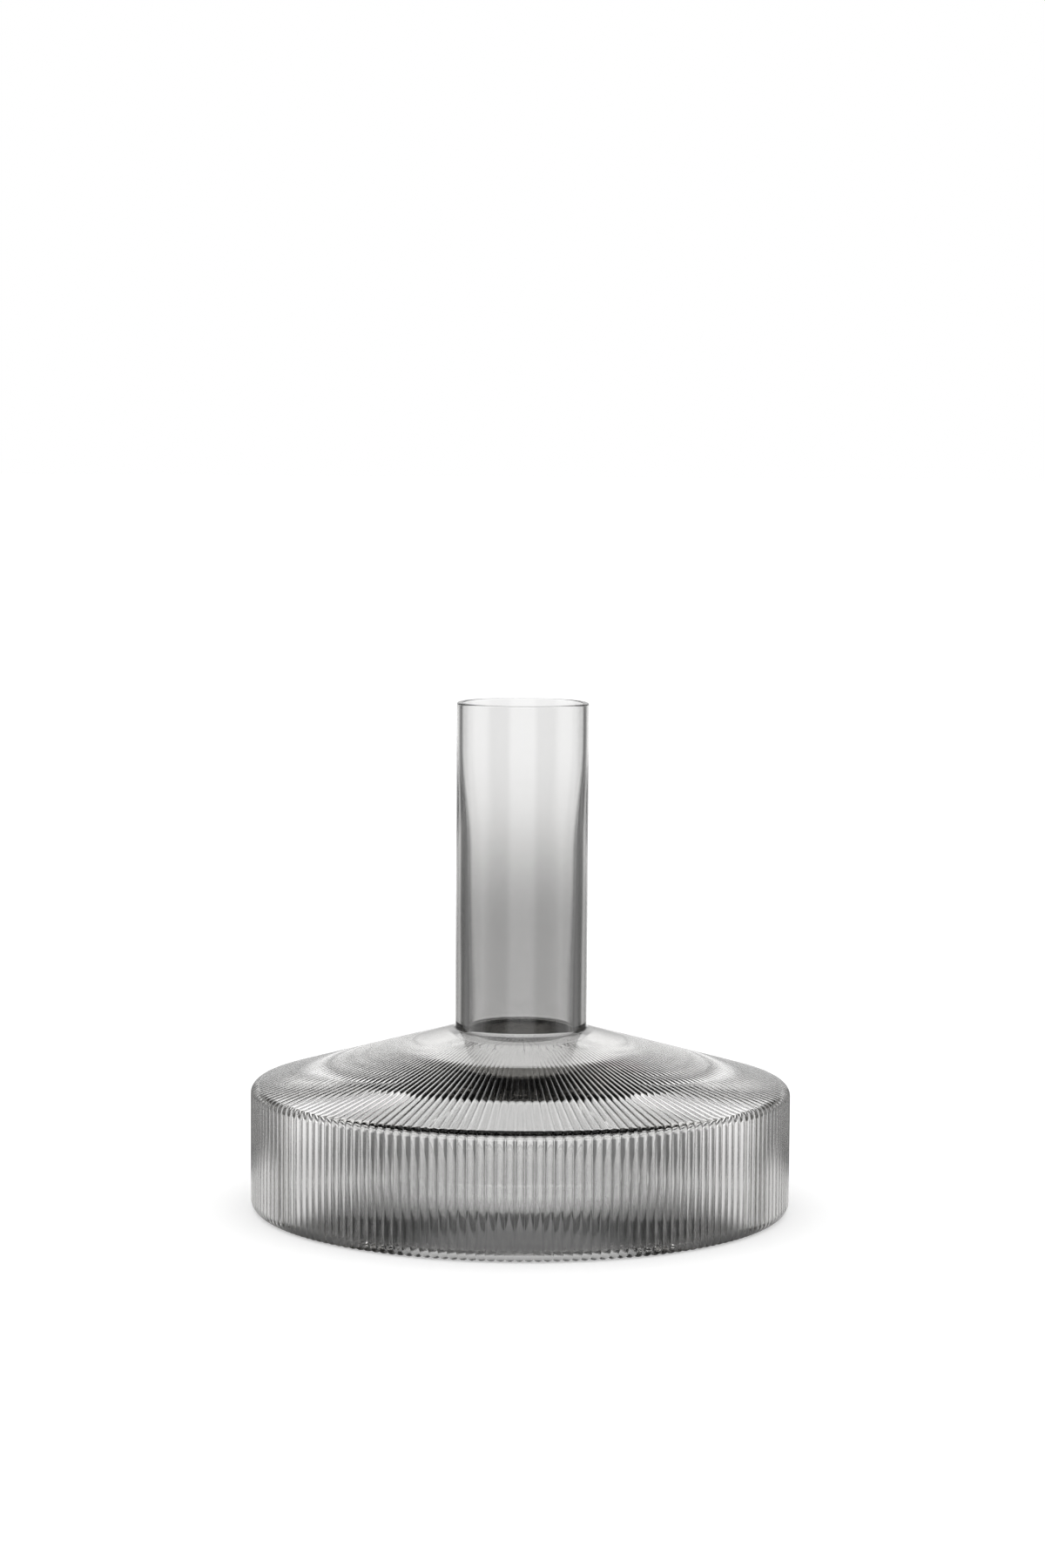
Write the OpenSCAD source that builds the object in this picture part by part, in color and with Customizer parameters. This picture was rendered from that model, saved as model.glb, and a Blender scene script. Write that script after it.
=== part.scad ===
// Wine carafe: one piece of mouth-blown smoke-grey glass with a wide ribbed body
// and a smooth neck. The origin is the centre of the foot on the table, +Z up.
// The glass is drawn as one closed section and shared out among six zones that
// meet face to face: floor, heel, side wall, shoulder, collar and neck.

/* [Body] */
// Diameter of the body over the rib crests
body_d = 210; // [160:1:260]
// Height at which the planes of the wall and the shoulder would meet
corner_h = 48.1; // [38:0.1:80]
// Slope of the shoulder above the horizontal, in degrees
shoulder_slope = 16; // [8:0.5:24]
// Outside radius of the corner between the wall and the shoulder
corner_r = 3.6; // [2:0.1:7]
// Outside radius of the heel between the wall and the foot
heel_r = 4; // [2:0.1:7]

/* [Neck] */
// Height of the carafe to its rim
total_h = 197.5; // [150:0.5:260]
// Outside diameter of the neck
neck_d = 51.2; // [40:0.2:64]
// Radius of the smooth flare between the neck and the shoulder
flare_r = 1.6; // [1:0.1:8]
// Rounding of the fire-polished rim, inside and outside
rim_r = 0.9; // [0.3:0.1:0.9]
// Length of the straight bore under the rim's rounding
mouth_l = 18; // [8:0.5:30]
// Distance below the rim at which the neck wall has nearly its full thickness
thickening_l = 60; // [40:1:80]

/* [Glass thickness] */
// Neck wall at the rim and along the straight bore
rim_wall = 2; // [1.9:0.1:3]
// Neck wall at the end of the thickening
mid_wall = 4.4; // [3:0.1:5]
// Neck wall at the foot of the neck
neck_foot_wall = 5.4; // [4:0.1:7]
// Shoulder wall round the neck, where the glass is thickest
shoulder_root_wall = 6.8; // [4:0.1:8]
// Shoulder wall from the corner in, up to where the glass starts to thicken
shoulder_wall = 3.2; // [2.6:0.1:4]
// Radius inside which the shoulder thickens towards the neck
thickening_r = 77; // [60:1:90]
// Radius inside which the shoulder has its full thickness
root_r = 45; // [38:1:54]
// Side wall, from the rib crests to the inside
side_wall_t = 3.4; // [2.6:0.1:5]
// Floor thickness
floor_t = 1.8; // [1.5:0.1:5]

/* [Inside roundings] */
// Rounding where the neck bore opens into the body
throat_r = 9; // [4:0.5:12]
// Inside radius of the corner under the shoulder
inner_corner_r = 1.5; // [1:0.1:5]
// Inside radius between the wall and the floor
inner_heel_r = 2.5; // [2:0.5:8]

/* [Foot] */
// Width of the flat ring that the carafe stands on
foot_ring_w = 9; // [5:0.5:14]
// Height of the raised centre under the floor
punt_h = 13; // [2:0.5:15]
// How flat the middle of the raised centre is: 2 is a plain dome
punt_power = 5; // [2:1:6]

/* [Ribs] */
// Number of ribs around the body
rib_count = 184; // [120:4:200]
// Depth of the valleys between the ribs
rib_depth = 0.8; // [0.4:0.05:1.1]
// Depth of the valleys on the shoulder, next to its corner
shoulder_rib_depth = 0.3; // [0.1:0.05:0.8]
// Width of the level crest of each rib at the wall
rib_flat = 1.3; // [0.4:0.05:1.6]
// Radius on the shoulder at which the ribs have faded out
rib_end_r = 35.3; // [34:0.1:50]

/* [Hidden] */

arc_steps = 6;           // straight steps in each rounding
dome_steps = 16;         // straight steps from the foot ring to the centre of the floor
round_fn = 360;          // facets of a full turn in the preview
glass_smoke = [0.45, 0.45, 0.44, 0.55];

body_r = body_d / 2;
neck_r = neck_d / 2;
bore_r = neck_r - rim_wall;
foot_r = body_r - heel_r;
ring_in_r = foot_r - foot_ring_w;
inner_r = body_r - side_wall_t;
rise = tan(shoulder_slope);

// Heights at which the zones meet
heel_top = punt_h + floor_t + inner_heel_r;
wall_top = corner_h - corner_r * tan((90 - shoulder_slope) / 2);
neck_foot = shoulder_z(neck_r) + flare_r * tan((90 - shoulder_slope) / 2);

// Height of the shoulder's outer surface, and of its underside, at radius r
function shoulder_z(r) = corner_h + (body_r - r) * rise;
function root_share(r) = min(1, max(0, (thickening_r - r) / (thickening_r - root_r)));
function under_z(r) = shoulder_z(r)
    - (shoulder_wall + (shoulder_root_wall - shoulder_wall) * root_share(r)) / cos(shoulder_slope);

// Height of the underside of the floor at radius r, and its line from the centre out
function punt_z(r) = punt_h * (1 - pow(r / ring_in_r, punt_power));
punt_line = [for (i = [0 : dome_steps]) let (r = ring_in_r * i / dome_steps) [r, punt_z(r)]];

function unit(v) = v / norm(v);
function turn(a) = a > 180 ? a - 360 : a < -180 ? a + 360 : a;

// Points of the arc of radius r that rounds the corner b between a and c
function rounded(a, b, c, r) = let (
    u = unit(a - b), v = unit(c - b),
    half = acos(u * v) / 2,
    centre = b + unit(u + v) * r / sin(half),
    from = b + u * r / tan(half) - centre,
    to = b + v * r / tan(half) - centre,
    start = atan2(from[1], from[0]),
    sweep = turn(atan2(to[1], to[0]) - start)
) [for (i = [0 : arc_steps])
    centre + r * [cos(start + sweep * i / arc_steps), sin(start + sweep * i / arc_steps)]];

// Corners of the section before they are rounded, outside and inside
wall_foot = [body_r, 0];
wall_head = [body_r, corner_h];
neck_root = [neck_r, shoulder_z(neck_r)];
rim_out = [neck_r, total_h];
rim_in = [bore_r, total_h];
bore_end = [bore_r, total_h - rim_r - mouth_l];
thickening_end = [neck_r - mid_wall, total_h - thickening_l];
throat = [neck_r - neck_foot_wall, under_z(neck_r - neck_foot_wall)];
root_bend = [root_r, under_z(root_r)];
outer_bend = [thickening_r, under_z(thickening_r)];
inner_head = [inner_r, under_z(inner_r)];
inner_foot = [inner_r, floor_t];
inner_floor = [ring_in_r, floor_t];

// The outline of the glass in section, and the space inside it
module outer_section() {
    polygon(concat(
        punt_line,
        rounded([foot_r, 0], wall_foot, wall_head, heel_r),
        rounded(wall_foot, wall_head, neck_root, corner_r),
        rounded(wall_head, neck_root, rim_out, flare_r),
        rounded(neck_root, rim_out, [0, total_h], rim_r),
        [[0, total_h]]
    ));
}

module inner_section() {
    polygon(concat(
        [for (p = punt_line) p + [0, floor_t]],
        rounded(inner_floor, inner_foot, inner_head, inner_heel_r),
        rounded(inner_foot, inner_head, outer_bend, inner_corner_r),
        [outer_bend, root_bend],
        rounded(root_bend, throat, thickening_end, throat_r),
        [thickening_end, bore_end],
        rounded(bore_end, rim_in, rim_out, rim_r),
        [[bore_r + rim_r, total_h + 1], [0, total_h + 1]]
    ));
}

// The glass between two radii and two heights, turned about the axis
module plain_zone(r0, r1, z0, z1) {
    rotate_extrude($fn = round_fn)
        intersection() {
            difference() { outer_section(); inner_section(); }
            translate([r0, z0]) square([r1 - r0, z1 - z0]);
        }
}

// Where the points of one rib lie: the angle from its crest, and the share of the depth
pitch = 360 / rib_count;
crest_angle = atan2(rib_flat / 2, body_r);
rib_shape = [[-crest_angle, 0], [crest_angle, 0], [pitch / 2, 1]];

// One row of points round the body for the place [point, outward normal, rib depth]
function ribbed_row(place) = [for (i = [0 : rib_count - 1], q = rib_shape) let (
    p = place[0] - q[1] * place[2] * place[1],
    a = i * pitch + q[0]
) [p[0] * cos(a), p[0] * sin(a), p[1]]];

// Places along a rounding of radius r about a centre, between two facing angles
function rounding(centre, r, from, to, depths) = [for (i = [0 : len(depths) - 1])
    let (a = from + (to - from) * i / (len(depths) - 1), n = [cos(a), sin(a)])
    [centre + r * n, n, depths[i]]];

// A solid block with ribs on its side, which follows the places from the bottom up
module ribbed_block(places) {
    rows = [for (p = places) ribbed_row(p)];
    n = len(rows[0]);
    last = len(rows) - 1;
    ends = [[0, 0, rows[0][0][2]], [0, 0, rows[last][0][2]]];
    polyhedron(
        concat([for (row = rows) each row], ends),
        concat(
            [for (j = [0 : last - 1], i = [0 : n - 1]) let (
                p = j * n + i, q = j * n + (i + 1) % n
            ) each [[p, p + n, q + n], [p, q + n, q]]],
            [for (i = [0 : n - 1]) let (k = (i + 1) % n) each [
                [i, k, (last + 1) * n], [last * n + k, last * n + i, (last + 1) * n + 1]
            ]]
        )
    );
}

// The ribbed glass outside the radius r0, which follows the places
module ribbed_zone(r0, places) {
    difference() {
        ribbed_block(places);
        rotate_extrude($fn = round_fn) {
            inner_section();
            translate([0, -1]) square([r0, total_h]);
        }
    }
}

module floor_disc() {
    color(glass_smoke) plain_zone(0, ring_in_r, 0, heel_top);
}

module heel() {
    color(glass_smoke) ribbed_zone(ring_in_r, concat(
        rounding([foot_r, heel_r], heel_r, -90, 0, [0, rib_depth, rib_depth]),
        [[[body_r, heel_top], [1, 0], rib_depth]]
    ));
}

module side_wall() {
    color(glass_smoke) ribbed_zone(ring_in_r, [
        [[body_r, heel_top], [1, 0], rib_depth],
        [[body_r, wall_top], [1, 0], rib_depth]
    ]);
}

module shoulder() {
    slope_normal = [sin(shoulder_slope), cos(shoulder_slope)];
    inside_r = rib_end_r - 1;
    color(glass_smoke) ribbed_zone(rib_end_r, concat(
        rounding([body_r - corner_r, wall_top], corner_r, 0, 90 - shoulder_slope,
            [rib_depth, (rib_depth + shoulder_rib_depth) / 2, shoulder_rib_depth]),
        [[[inside_r, shoulder_z(inside_r)], slope_normal, 0]]
    ));
}

module collar() {
    color(glass_smoke) plain_zone(0, rib_end_r, wall_top, neck_foot);
}

module neck() {
    color(glass_smoke) plain_zone(0, neck_r, neck_foot, total_h);
}

floor_disc();
heel();
side_wall();
shoulder();
collar();
neck();
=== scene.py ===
# Wine carafe of mouth-blown smoke-grey glass with a ribbed body, on a plain white table
import math

import bpy
import numpy as np
from mathutils import Matrix, Vector


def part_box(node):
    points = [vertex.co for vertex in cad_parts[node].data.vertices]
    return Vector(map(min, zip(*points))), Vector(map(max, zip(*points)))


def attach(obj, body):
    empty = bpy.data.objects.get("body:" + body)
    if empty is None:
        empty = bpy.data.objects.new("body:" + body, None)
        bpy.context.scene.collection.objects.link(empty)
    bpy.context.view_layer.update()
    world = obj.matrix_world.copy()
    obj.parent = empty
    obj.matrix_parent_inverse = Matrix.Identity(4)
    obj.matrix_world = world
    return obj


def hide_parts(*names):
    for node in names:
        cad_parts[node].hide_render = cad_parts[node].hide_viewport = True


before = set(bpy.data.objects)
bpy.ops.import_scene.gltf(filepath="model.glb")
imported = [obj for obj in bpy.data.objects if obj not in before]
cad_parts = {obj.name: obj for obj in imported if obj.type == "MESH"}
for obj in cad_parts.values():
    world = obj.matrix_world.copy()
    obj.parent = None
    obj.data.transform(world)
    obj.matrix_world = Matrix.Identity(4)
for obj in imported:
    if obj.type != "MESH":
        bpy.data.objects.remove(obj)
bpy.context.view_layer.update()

MM = 0.001
NODES = ["floor_disc", "heel", "side_wall", "shoulder", "collar", "neck"]

# Sizes that the frame gives
ring_in_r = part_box("floor_disc")[1][0]
body_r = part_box("side_wall")[1][0]
wall_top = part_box("side_wall")[1][2]
collar_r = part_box("collar")[1][0]
neck_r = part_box("neck")[1][0]
total_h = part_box("neck")[1][2]

# Outside of the glass, where the frame's boxes don't show it
shoulder_slope = math.radians(16)
corner_r = 3.6 * MM
heel_r = 4 * MM
flare_r = 1.6 * MM
rim_r = 0.9 * MM
punt_h = 13 * MM
punt_power = 5              # the higher, the flatter the middle of the raised centre

# Thickness of the glass
floor_t = 1.8 * MM
side_wall_t = 3.4 * MM
shoulder_wall = 3.2 * MM    # from the corner in to thickening_r
shoulder_root_wall = 6.8 * MM
thickening_r = 77 * MM
root_r = 45 * MM            # inside this radius the shoulder has its full thickness
neck_foot_wall = 5.4 * MM
mid_wall = 4.4 * MM
rim_wall = 2 * MM
thickening_l = 60 * MM      # from the rim down to the middle thickness
mouth_l = 18 * MM           # straight bore under the rim

# Roundings of the inside
throat_r = 9 * MM
bend_r = 40 * MM
inner_corner_r = 1.5 * MM
inner_heel_r = 2.5 * MM

# Ribs: how many there are, how deep the valleys are and how far they take to fade out
rib_count = 184
rib_depth = 0.8 * MM
shoulder_rib_depth = 0.3 * MM
rib_fade_l = 30 * MM
rib_roundness = 1.344       # radius of a rib's arc over half its width
rib_unevenness = 0.05       # how much the depth differs from one valley to the next

# Columns of points across one rib, as shares of half its width from the crest
rib_columns = [0, 0.35, 0.65, 0.88, 1, 1.12, 1.35, 1.65]
neck_columns = 2 * rib_count

# Steps between the rows of points along each stretch of the section
dome_steps = 18
heel_steps = 9
wall_steps = 8
corner_steps = 8
flare_steps = 10
neck_steps = 14
lip_steps = 6
taper_steps = 14
throat_steps = 12
bend_steps = 4
inner_corner_steps = 8
inner_wall_steps = 6
short_steps = 3             # stretches of plain cone or tube between two roundings

# Where the rows on the shoulder lie, in 60ths of the way from its corner to the collar
shoulder_parts = 60
shoulder_rows = [4, 11, 20, 29, 37, 44, 49, 53, 55, 57, 59]

rise = math.tan(shoulder_slope)
corner_h = wall_top + corner_r * math.tan((math.pi / 2 - shoulder_slope) / 2)
inner_r = body_r - side_wall_t
bore_r = neck_r - rim_wall
foot_r = body_r - heel_r


def shoulder_z(r):
    """Height of the shoulder's outer surface at radius r."""
    return corner_h + (body_r - r) * rise


def under_z(r):
    """Height of the shoulder's underside at radius r."""
    share = min(max((thickening_r - r) / (thickening_r - root_r), 0), 1)
    wall = shoulder_wall + (shoulder_root_wall - shoulder_wall) * share
    return shoulder_z(r) - wall / math.cos(shoulder_slope)


def smooth(share):
    """Ease a share from 0 to 1 without a kink at either end."""
    t = min(max(share, 0.0), 1.0)
    return t * t * (3 - 2 * t)


def straight(start, end, steps):
    """Rows between two rows, without them: (radius, height, tangent r, tangent z)."""
    (r0, z0), (r1, z1) = start[:2], end[:2]
    length = math.hypot(r1 - r0, z1 - z0)
    tangent = ((r1 - r0) / length, (z1 - z0) / length)
    shares = [i / steps for i in range(1, steps)]
    return [(r0 + (r1 - r0) * t, z0 + (z1 - z0) * t, *tangent) for t in shares]


def rounding(before, corner, after, radius, steps):
    """Rows along the arc that rounds a corner of the section."""
    a, b, c = (Vector(p[:2]) for p in (before, corner, after))
    u, v = (a - b).normalized(), (c - b).normalized()
    half = u.angle(v) / 2
    centre = b + (u + v).normalized() * radius / math.sin(half)
    from_centre = b + u * radius / math.tan(half) - centre
    turn = math.copysign(math.pi - 2 * half, -u.cross(v))
    rows = []
    for i in range(steps + 1):
        spoke = Matrix.Rotation(turn * i / steps, 2) @ from_centre
        p = centre + spoke
        along = Vector((-spoke.y, spoke.x)).normalized() * math.copysign(1, turn)
        rows.append((p.x, p.y, along.x, along.y))
    return rows


# Corners of the section before they are rounded, outside and inside
foot_edge = (ring_in_r, 0)
wall_foot = (body_r, 0)
wall_head = (body_r, corner_h)
neck_root = (neck_r, shoulder_z(neck_r))
rim_out = (neck_r, total_h)
rim_in = (bore_r, total_h)
bore_end = (bore_r, total_h - rim_r - mouth_l)
thickening_end = (neck_r - mid_wall, total_h - thickening_l)
throat = (neck_r - neck_foot_wall, under_z(neck_r - neck_foot_wall))
root_bend = (root_r, under_z(root_r))
outer_bend = (thickening_r, under_z(thickening_r))
inner_head = (inner_r, under_z(inner_r))
inner_foot = (inner_r, floor_t)


def dome(base_z):
    """Rows of the floor's raised centre over a base height, from near the middle out."""
    rows = []
    for i in range(1, dome_steps):
        share = i / dome_steps
        slope = Vector((ring_in_r, -punt_power * punt_h * share ** (punt_power - 1))).normalized()
        rows.append((ring_in_r * share, base_z + punt_h * (1 - share ** punt_power), slope.x, slope.y))
    return rows


def ribbed_rows():
    """Rows from the foot ring over the heel, the wall and the corner to the collar."""
    heel = rounding(foot_edge, wall_foot, wall_head, heel_r, heel_steps)
    corner = rounding(wall_foot, wall_head, neck_root, corner_r, corner_steps)
    end = (collar_r, shoulder_z(collar_r), *corner[-1][2:])
    slope = straight(corner[-1], end, shoulder_parts)
    shoulder = [slope[part - 1] for part in shoulder_rows]
    foot = [(*foot_edge, 1.0, 0.0)] + straight(foot_edge, heel[0], 2)
    return foot + heel + straight(heel[-1], corner[0], wall_steps) + corner + shoulder + [end]


def neck_rows():
    """Rows from the collar up the flare and the neck to the crown of the rim."""
    flare = rounding(wall_head, neck_root, rim_out, flare_r, flare_steps)
    lip = rounding(neck_root, rim_out, rim_in, rim_r, lip_steps)
    collar = straight((collar_r, shoulder_z(collar_r)), flare[0], short_steps)
    return collar + flare + straight(flare[-1], lip[0], neck_steps) + lip


def tapering_rows(top, bottom):
    """Rows down the neck's bore, between two heights, as its wall thickens towards the foot."""
    mid = thickening_end[1]
    rows = []
    for i in range(1, taper_steps):
        z = top + (bottom - top) * i / taper_steps
        wall = rim_wall + (mid_wall - rim_wall) * smooth((top - z) / (top - mid))
        wall += (neck_foot_wall - mid_wall) * smooth((mid - z) / (mid - bottom))
        rows.append((neck_r - wall, z, 0.0, -1.0))
    return rows


def inside_rows():
    """Rows from the rim down the bore, under the shoulder and down the wall to the floor."""
    lip = rounding(rim_out, rim_in, bore_end, rim_r, lip_steps)
    bore = straight(lip[-1], bore_end, short_steps) + [(*bore_end, 0.0, -1.0)]
    mouth = rounding(root_bend, throat, thickening_end, throat_r, throat_steps)[::-1]
    mouth = [(r, z, -tr, -tz) for r, z, tr, tz in mouth]
    root = rounding(throat, root_bend, outer_bend, bend_r, bend_steps)
    bend = rounding(root_bend, outer_bend, inner_head, bend_r, bend_steps)
    head = rounding(outer_bend, inner_head, inner_foot, inner_corner_r, inner_corner_steps)
    foot = rounding(inner_head, inner_foot, (ring_in_r, floor_t), inner_heel_r, heel_steps)
    taper = tapering_rows(lip[-1][1] - mouth_l, mouth[0][1])
    under = straight(mouth[-1], root[0], short_steps) + root
    under += straight(root[-1], bend[0], bend_steps) + bend
    under += straight(bend[-1], head[0], short_steps)
    side = straight(head[-1], foot[0], inner_wall_steps)
    return lip[1:] + bore + taper + mouth + under + head + side + foot


def depth_at(row):
    """Depth of the valleys between the ribs at a row."""
    r, z = row[:2]
    if z < heel_r and r < foot_r:
        return rib_depth * smooth((r - ring_in_r) / (foot_r - ring_in_r))
    if z < wall_top:
        return rib_depth
    turned = smooth((z - wall_top) / (shoulder_z(body_r - corner_r) - wall_top))
    depth = rib_depth + (shoulder_rib_depth - rib_depth) * turned
    return depth * (r / body_r) * smooth((r - collar_r) / rib_fade_l)


def rib_shape(q):
    """Share of the depth at q, which is 0 at a rib's crest and 1 or -1 in the valleys."""
    span = rib_roundness - math.sqrt(rib_roundness ** 2 - 1)
    return (rib_roundness - math.sqrt(rib_roundness ** 2 - q * q)) / span


def plain_ring(row, count):
    """Points of a smooth row."""
    a = np.arange(count) * 2 * math.pi / count
    return np.column_stack([row[0] * np.cos(a), row[0] * np.sin(a), np.full(count, row[1])])


def ribbed_ring(row):
    """Points of a row across all the ribs, whose valleys differ a little in depth."""
    r, z, tr, tz = row
    half_width = math.pi / rib_count
    angles, shares = [], []
    for i in range(rib_count):
        valley = 1 + rib_unevenness * math.sin(i * i)
        for q in rib_columns:
            angles.append((2 * i + q) * half_width)
            shares.append(valley * rib_shape(q if q <= 1 else q - 2))
    a, drop = np.array(angles), np.array(shares) * depth_at(row)
    r_col, z_col = r - drop * tz, z + drop * tr
    return np.column_stack([r_col * np.cos(a), r_col * np.sin(a), z_col])


class Skin:
    """A closed surface made ring by ring."""

    def __init__(self):
        self.points, self.faces, self.last, self.count = [], [], None, 0

    def pole(self, z):
        """A single point on the axis, which starts or closes the surface."""
        self.points.append(np.array([[0.0, 0.0, z]]))
        ring = np.array([self.count])
        self.count += 1
        if self.last is not None:
            n = len(self.last)
            self.faces += [(self.last[i], self.last[(i + 1) % n], ring[0]) for i in range(n)]
        self.last = ring

    def ring(self, points):
        """The next ring, joined to the last one by quads, or by fans where their numbers differ."""
        new = np.arange(self.count, self.count + len(points))
        self.points.append(points)
        self.count += len(points)
        old, self.last = self.last, new
        a, b = len(old), len(new)
        if a == b:
            self.faces += [(old[i], old[(i + 1) % a], new[(i + 1) % a], new[i]) for i in range(a)]
        elif a < b:
            k = b // a
            for i in range(a):
                j = (i + 1) % a
                fan = [new[(k * i + m) % b] for m in range(k + 1)]
                self.faces += [(old[i], fan[m + 1], fan[m]) for m in range(k)]
                if a > 1:
                    self.faces.append((old[i], old[j], fan[k]))
        else:
            k = a // b
            for i in range(b):
                j = (i + 1) % b
                fan = [old[(k * i + m) % a] for m in range(k + 1)]
                self.faces += [(fan[m], fan[m + 1], new[i]) for m in range(k)]
                self.faces.append((fan[k], new[j], new[i]))

    def mesh(self, name):
        """The surface as a Blender mesh."""
        mesh = bpy.data.meshes.new(name)
        mesh.from_pydata(np.vstack(self.points).tolist(), [], [tuple(map(int, f)) for f in self.faces])
        mesh.update()
        return mesh


def make_glass():
    """The whole carafe as one closed skin of glass."""
    skin = Skin()
    skin.pole(punt_h)
    for row in dome(0):
        skin.ring(plain_ring(row, rib_count))
    for row in ribbed_rows():
        skin.ring(ribbed_ring(row))
    for row in neck_rows():
        skin.ring(plain_ring(row, neck_columns))
    for row in inside_rows():
        skin.ring(plain_ring(row, rib_count))
    for row in dome(floor_t)[::-1]:
        skin.ring(plain_ring(row, rib_count))
    skin.pole(punt_h + floor_t)
    mesh = skin.mesh("carafe_glass")
    mesh.shade_smooth()
    obj = bpy.data.objects.new("carafe_glass", mesh)
    bpy.context.scene.collection.objects.link(obj)
    even = obj.modifiers.new("even_normals", "WEIGHTED_NORMAL")
    even.mode = "FACE_AREA"
    return obj


def new_material(name):
    """An empty node material, with its node tree and its output."""
    material = bpy.data.materials.new(name)
    material.use_nodes = True
    tree = material.node_tree
    tree.nodes.clear()
    out = tree.nodes.new("ShaderNodeOutputMaterial")
    return material, tree, out


def curve(tree, source, stops, reach):
    """A grey level along a smooth curve through stops of (value, level), at most 1."""
    scale = tree.nodes.new("ShaderNodeMapRange")
    scale.inputs["From Max"].default_value = reach
    ramp = tree.nodes.new("ShaderNodeValToRGB")
    ramp.color_ramp.interpolation = "EASE"
    while len(ramp.color_ramp.elements) < len(stops):
        ramp.color_ramp.elements.new(0.5)
    for element, (value, level) in zip(ramp.color_ramp.elements, stops):
        element.position = value / reach
        element.color = (level, level, level, 1)
    tree.links.new(source, scale.inputs["Value"])
    tree.links.new(scale.outputs["Result"], ramp.inputs["Fac"])
    return ramp.outputs["Color"]


def calculate(tree, operation, *values):
    """The result of a Math node on sockets and plain numbers."""
    node = tree.nodes.new("ShaderNodeMath")
    node.operation = operation
    for socket, value in zip(node.inputs, values):
        if isinstance(value, bpy.types.NodeSocket):
            tree.links.new(value, socket)
        else:
            socket.default_value = value
    return node.outputs[0]


def split(tree, vector):
    """The X, Y and Z of a vector."""
    parts = tree.nodes.new("ShaderNodeSeparateXYZ")
    tree.links.new(vector, parts.inputs[0])
    return parts.outputs


def noise(tree, place, scale):
    """Plain noise at a place, from 0 to 1."""
    node = tree.nodes.new("ShaderNodeTexNoise")
    node.inputs["Scale"].default_value = scale
    node.inputs["Detail"].default_value = 0
    tree.links.new(place, node.inputs["Vector"])
    return node.outputs["Fac"]


# Colour of the smoke inside the glass, and how dense it is per metre
smoke_colour = (0.5, 0.49, 0.47, 1)
smoke_density = 60
# How clear the surface is at each height: painted shade, which darkens the glass from the shoulder up the
# lower neck
painted_shade_by_height = [(0.0, 1.0), (0.05, 1.0), (0.062, 0.92), (0.072, 0.76), (0.09, 0.73), (0.112, 0.71),
                   (0.16, 0.99), (0.185, 1.0)]
# Faint streaks of smoke, and how clear the darkest of them is
streak_scale = 18
streak_clear = 0.985
# Slight ripple of the blown surface
ripple_scale = 45
ripple_h = 0.06 * MM


def smoke_streaks_and_painted_shade(tree, place):
    """The tint of the surface at a place: the painted shade at its height, times the streaks of smoke."""
    clear = curve(tree, split(tree, place)["Z"], painted_shade_by_height, total_h)
    streaks = tree.nodes.new("ShaderNodeMapRange")
    streaks.inputs["To Min"].default_value = streak_clear
    tree.links.new(noise(tree, place, streak_scale), streaks.inputs["Value"])
    tint = tree.nodes.new("ShaderNodeVectorMath")
    tint.operation = "MULTIPLY"
    tree.links.new(clear, tint.inputs[0])
    tree.links.new(streaks.outputs["Result"], tint.inputs[1])
    return tint.outputs["Vector"]


def rippled_normal(tree, place):
    """The normal of a surface with the slight ripple of blown glass."""
    bump = tree.nodes.new("ShaderNodeBump")
    bump.inputs["Strength"].default_value = 1
    bump.inputs["Distance"].default_value = ripple_h
    tree.links.new(noise(tree, place, ripple_scale), bump.inputs["Height"])
    return bump.outputs["Normal"]


def smoke_glass():
    """Smoke-grey glass, tinted by its thickness and by streaks of smoke, with painted shade from the
    shoulder up the lower neck and a blown surface.
    """
    material, tree, out = new_material("smoke_glass")
    place = tree.nodes.new("ShaderNodeNewGeometry").outputs["Position"]
    glass = tree.nodes.new("ShaderNodeBsdfPrincipled")
    glass.inputs["Roughness"].default_value = 0
    glass.inputs["IOR"].default_value = 1.5
    glass.inputs["Transmission Weight"].default_value = 1
    # The base colour carries the painted shade by height, times the streaks of smoke
    tree.links.new(smoke_streaks_and_painted_shade(tree, place), glass.inputs["Base Color"])
    tree.links.new(rippled_normal(tree, place), glass.inputs["Normal"])
    smoke = tree.nodes.new("ShaderNodeVolumeAbsorption")
    smoke.inputs["Color"].default_value = smoke_colour
    smoke.inputs["Density"].default_value = smoke_density
    tree.links.new(glass.outputs["BSDF"], out.inputs["Surface"])
    tree.links.new(smoke.outputs["Volume"], out.inputs["Volume"])
    return material


def seen_in_glass(tree):
    """A value of 1 for rays that a glossy or clear surface sends on, else 0."""
    path = tree.nodes.new("ShaderNodeLightPath")
    return calculate(tree, "MAXIMUM", path.outputs["Is Glossy Ray"], path.outputs["Is Transmission Ray"])


# The studio as the glass sees it: white panels all round, with darker gaps between them
panel_count = 4
gap_level = 0.2             # brightness in the middle of a gap, over a panel's
# Where a gap passes into a panel, from -1 in the middle of a gap to 1 in the middle of a panel
panel_edge_from, panel_edge_to = -0.6, 0.3
# How bright the table looks in the glass, at each distance from the axis
table_in_glass = [(0.0, 0.2), (0.092, 0.1), (0.1, 0.5), (0.106, 0.9), (0.2, 0.9), (0.35, 1.2), (0.5, 1.0),
                  (2.0, 1.0)]
# How bright the studio looks in the glass, at each sine of the elevation
studio_in_glass = [(0.0, 0.7), (0.3, 1.5), (0.5, 1.7), (0.58, 0.9), (0.65, 0.05), (0.83, 0.05), (0.9, 0.8),
                   (1.0, 0.8)]


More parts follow.
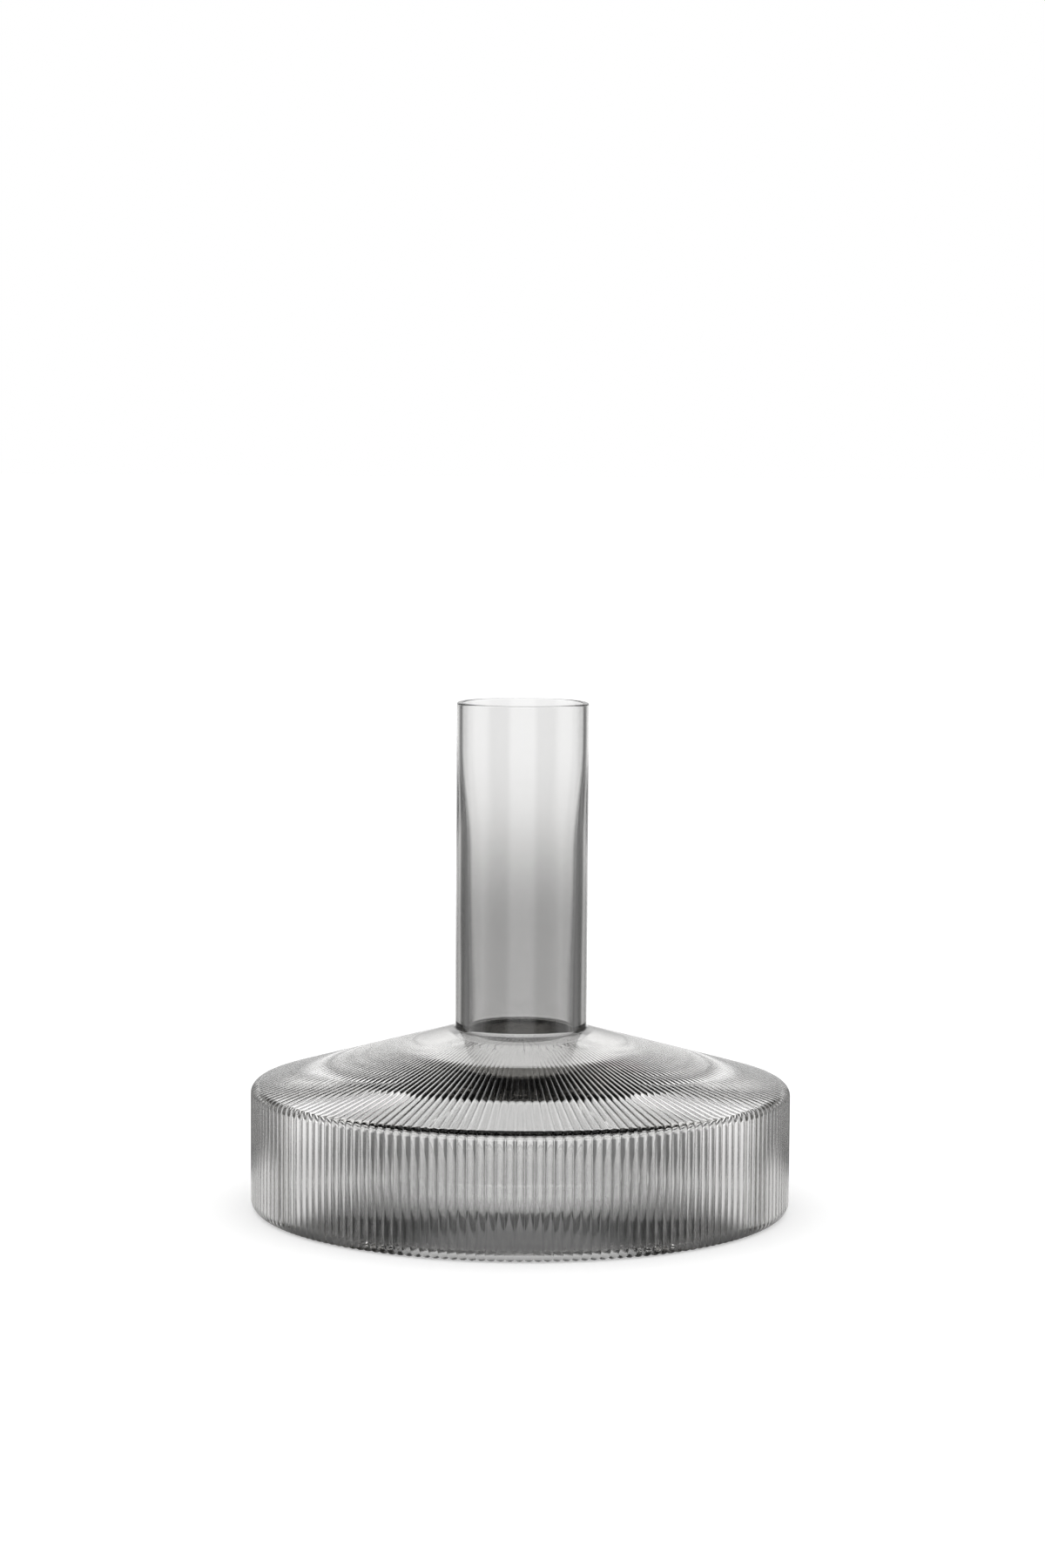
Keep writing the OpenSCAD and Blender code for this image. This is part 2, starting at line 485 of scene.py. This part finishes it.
def studio_level(tree, vector, source, stops):
    """Brightness along the stops at a place or in a direction, darker in the gaps between panels."""
    top = max(level for _, level in stops)
    reach = stops[-1][0]
    level = curve(tree, source, [(value, level / top) for value, level in stops], reach)
    parts = split(tree, vector)
    turn = calculate(tree, "ARCTAN2", parts["Y"], parts["X"])
    wave = calculate(tree, "COSINE", calculate(tree, "MULTIPLY", turn, panel_count))
    panel = tree.nodes.new("ShaderNodeMapRange")
    panel.interpolation_type = "SMOOTHSTEP"
    panel.inputs["From Min"].default_value = panel_edge_from
    panel.inputs["From Max"].default_value = panel_edge_to
    panel.inputs["To Min"].default_value = gap_level * top
    panel.inputs["To Max"].default_value = top
    tree.links.new(wave, panel.inputs["Value"])
    return calculate(tree, "MULTIPLY", level, panel.outputs["Result"])


# The table as the camera sees it: what it gives back of the light, and what it adds
table_white = 0.85
table_glow = 0.35
# Half the table's side in metres, and the gap under the foot
table_half = 40
table_gap = 0.05 * MM


def table_material():
    """White paint that keeps the carafe's shadow, and that the glass sees as table_in_glass says."""
    material, tree, out = new_material("table_white")
    matt = tree.nodes.new("ShaderNodeBsdfDiffuse")
    matt.inputs["Color"].default_value = (table_white, table_white, table_white, 1)
    glow = tree.nodes.new("ShaderNodeEmission")
    glow.inputs["Strength"].default_value = table_glow
    lit = tree.nodes.new("ShaderNodeAddShader")
    tree.links.new(matt.outputs[0], lit.inputs[0])
    tree.links.new(glow.outputs[0], lit.inputs[1])
    place = tree.nodes.new("ShaderNodeNewGeometry").outputs["Position"]
    radius = tree.nodes.new("ShaderNodeVectorMath")
    radius.operation = "LENGTH"
    tree.links.new(place, radius.inputs[0])
    level = studio_level(tree, place, radius.outputs["Value"], table_in_glass)
    in_glass = tree.nodes.new("ShaderNodeEmission")
    tree.links.new(level, in_glass.inputs["Strength"])
    mix = tree.nodes.new("ShaderNodeMixShader")
    tree.links.new(seen_in_glass(tree), mix.inputs[0])
    tree.links.new(lit.outputs[0], mix.inputs[1])
    tree.links.new(in_glass.outputs[0], mix.inputs[2])
    tree.links.new(mix.outputs[0], out.inputs["Surface"])
    material.cycles.emission_sampling = "NONE"
    return material


def make_floor():
    """A plain white table."""
    corners = [(-1, -1), (1, -1), (1, 1), (-1, 1)]
    points = [(x * table_half, y * table_half, -table_gap) for x, y in corners]
    mesh = bpy.data.meshes.new("table")
    mesh.from_pydata(points, [], [(0, 1, 2, 3)])
    mesh.materials.append(table_material())
    table = bpy.data.objects.new("table", mesh)
    bpy.context.scene.collection.objects.link(table)


def make_world():
    """Plain soft light from all round, which the glass sees as a studio."""
    world = bpy.data.worlds.new("studio")
    world.use_nodes = True
    bpy.context.scene.world = world
    tree = world.node_tree
    sky = tree.nodes["Background"]
    sky.inputs["Color"].default_value = (1, 1, 1, 1)
    direction = tree.nodes.new("ShaderNodeTexCoord").outputs["Generated"]
    level = studio_level(tree, direction, split(tree, direction)["Z"], studio_in_glass)
    mix = tree.nodes.new("ShaderNodeMix")
    mix.inputs["A"].default_value = 1
    tree.links.new(seen_in_glass(tree), mix.inputs["Factor"])
    tree.links.new(level, mix.inputs["B"])
    tree.links.new(mix.outputs["Result"], sky.inputs["Strength"])


def make_camera():
    """The photograph's camera, fitted to the outline of the carafe."""
    distance, height = 1426.9 * MM, 294.04 * MM
    pitch, roll = math.radians(5.14), math.radians(0.382)
    photo_h, focal_px = 1800, 4245.2
    sensor = 36
    ahead = Vector((0, math.cos(pitch), -math.sin(pitch)))
    right = Vector((1, 0, 0))
    up = right.cross(ahead)
    right, up = (right * math.cos(roll) + up * math.sin(roll),
                 up * math.cos(roll) - right * math.sin(roll))
    camera = bpy.data.objects.new("camera", bpy.data.cameras.new("camera"))
    camera.data.sensor_width = sensor
    camera.data.lens = sensor * focal_px / photo_h
    turn = Matrix((right, up, -ahead)).transposed().to_4x4()
    camera.matrix_world = Matrix.Translation((0, -distance, height)) @ turn
    bpy.context.scene.collection.objects.link(camera)
    bpy.context.scene.camera = camera


def set_light_paths():
    """Room for the many bounces that light takes inside ribbed glass."""
    most_bounces = 32
    cycles = bpy.context.scene.cycles
    cycles.max_bounces = most_bounces
    cycles.transmission_bounces = most_bounces
    cycles.glossy_bounces = most_bounces
    cycles.diffuse_bounces = 4
    cycles.volume_bounces = 0


make_camera()
make_world()
make_floor()
glass = make_glass()
glass.data.materials.append(smoke_glass())
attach(glass, "root")
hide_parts(*NODES)
set_light_paths()
bpy.context.scene.view_settings.view_transform = "Standard"
